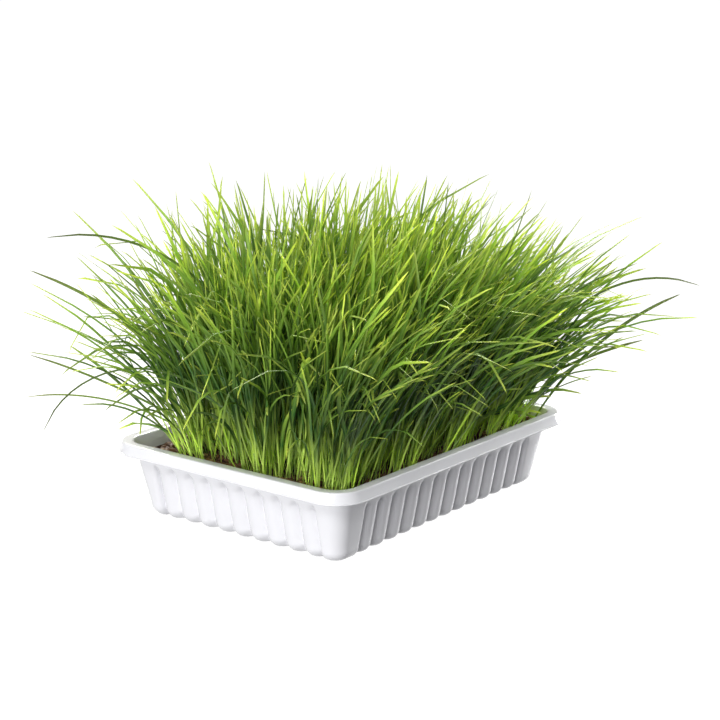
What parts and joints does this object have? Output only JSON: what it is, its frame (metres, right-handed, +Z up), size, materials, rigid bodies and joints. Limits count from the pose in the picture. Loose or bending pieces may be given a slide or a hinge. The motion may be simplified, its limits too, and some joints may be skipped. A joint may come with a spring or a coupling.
{
  "type": "wheatgrass tray",
  "caption": "Dense young wheatgrass growing in a white thermoformed plastic tray with fluted walls.",
  "frame": {"origin": "centre of the tray's flat underside", "axes": "+X along the tray's long side, +Y along its short side, +Z up"},
  "size_m": [0.3332, 0.3169, 0.1853],
  "materials": {
    "tray_plastic": "satin white thermoformed sheet",
    "growing_medium": "moist crumbly fibre soil, matt",
    "sprouted_grain": "matt grain husks, fine roots and crumbs of soil",
    "grass_leaf": "fresh young leaf, soft sheen, light shows through",
    "stray_leaf": "longer and darker leaf, soft sheen"
  },
  "bodies": {
    "root": {"grass_tuft_1_1": "grass_leaf", "grass_tuft_1_2": "grass_leaf", "grass_tuft_1_3": "grass_leaf", "grass_tuft_1_4": "grass_leaf", "grass_tuft_1_5": "grass_leaf", "grass_tuft_2_1": "grass_leaf", "grass_tuft_2_2": "grass_leaf", "grass_tuft_2_3": "grass_leaf", "grass_tuft_2_4": "grass_leaf", "grass_tuft_2_5": "grass_leaf", "grass_tuft_2_6": "grass_leaf", "grass_tuft_3_1": "grass_leaf", "grass_tuft_3_2": "grass_leaf", "grass_tuft_3_3": "grass_leaf", "grass_tuft_3_4": "grass_leaf", "grass_tuft_3_5": "grass_leaf", "grass_tuft_3_6": "grass_leaf", "grass_tuft_4_1": "grass_leaf", "grass_tuft_4_2": "grass_leaf", "grass_tuft_4_3": "grass_leaf", "grass_tuft_4_4": "grass_leaf", "grass_tuft_4_5": "grass_leaf", "grass_tuft_4_6": "grass_leaf", "grass_tuft_5_1": "grass_leaf", "grass_tuft_5_2": "grass_leaf", "grass_tuft_5_3": "grass_leaf", "grass_tuft_5_4": "grass_leaf", "grass_tuft_5_5": "grass_leaf", "grass_tuft_5_6": "grass_leaf", "grass_tuft_6_1": "grass_leaf", "grass_tuft_6_2": "grass_leaf", "grass_tuft_6_3": "grass_leaf", "grass_tuft_6_4": "grass_leaf", "grass_tuft_6_5": "grass_leaf", "grass_tuft_6_6": "grass_leaf", "grass_tuft_7_1": "grass_leaf", "grass_tuft_7_2": "grass_leaf", "grass_tuft_7_3": "grass_leaf", "grass_tuft_7_4": "grass_leaf", "grass_tuft_7_5": "grass_leaf", "grass_tuft_7_6": "grass_leaf", "grass_tuft_8_1": "grass_leaf", "grass_tuft_8_2": "grass_leaf", "grass_tuft_8_3": "grass_leaf", "grass_tuft_8_4": "grass_leaf", "grass_tuft_8_5": "grass_leaf", "grass_tuft_8_6": "grass_leaf", "growing_medium": "growing_medium", "seed_carpet": "sprouted_grain", "stray_blade_back_corner": "stray_leaf", "stray_blade_back_tall": "stray_leaf", "stray_blade_left_arched": "stray_leaf", "stray_blade_left_drooping": "stray_leaf", "stray_blade_left_high": "stray_leaf", "stray_blade_left_level": "stray_leaf", "stray_blade_left_low": "stray_leaf", "stray_blade_right_arched": "stray_leaf", "stray_blade_right_low": "stray_leaf", "stray_blade_right_straight": "stray_leaf", "tray": "tray_plastic"}
  },
  "joints": []
}
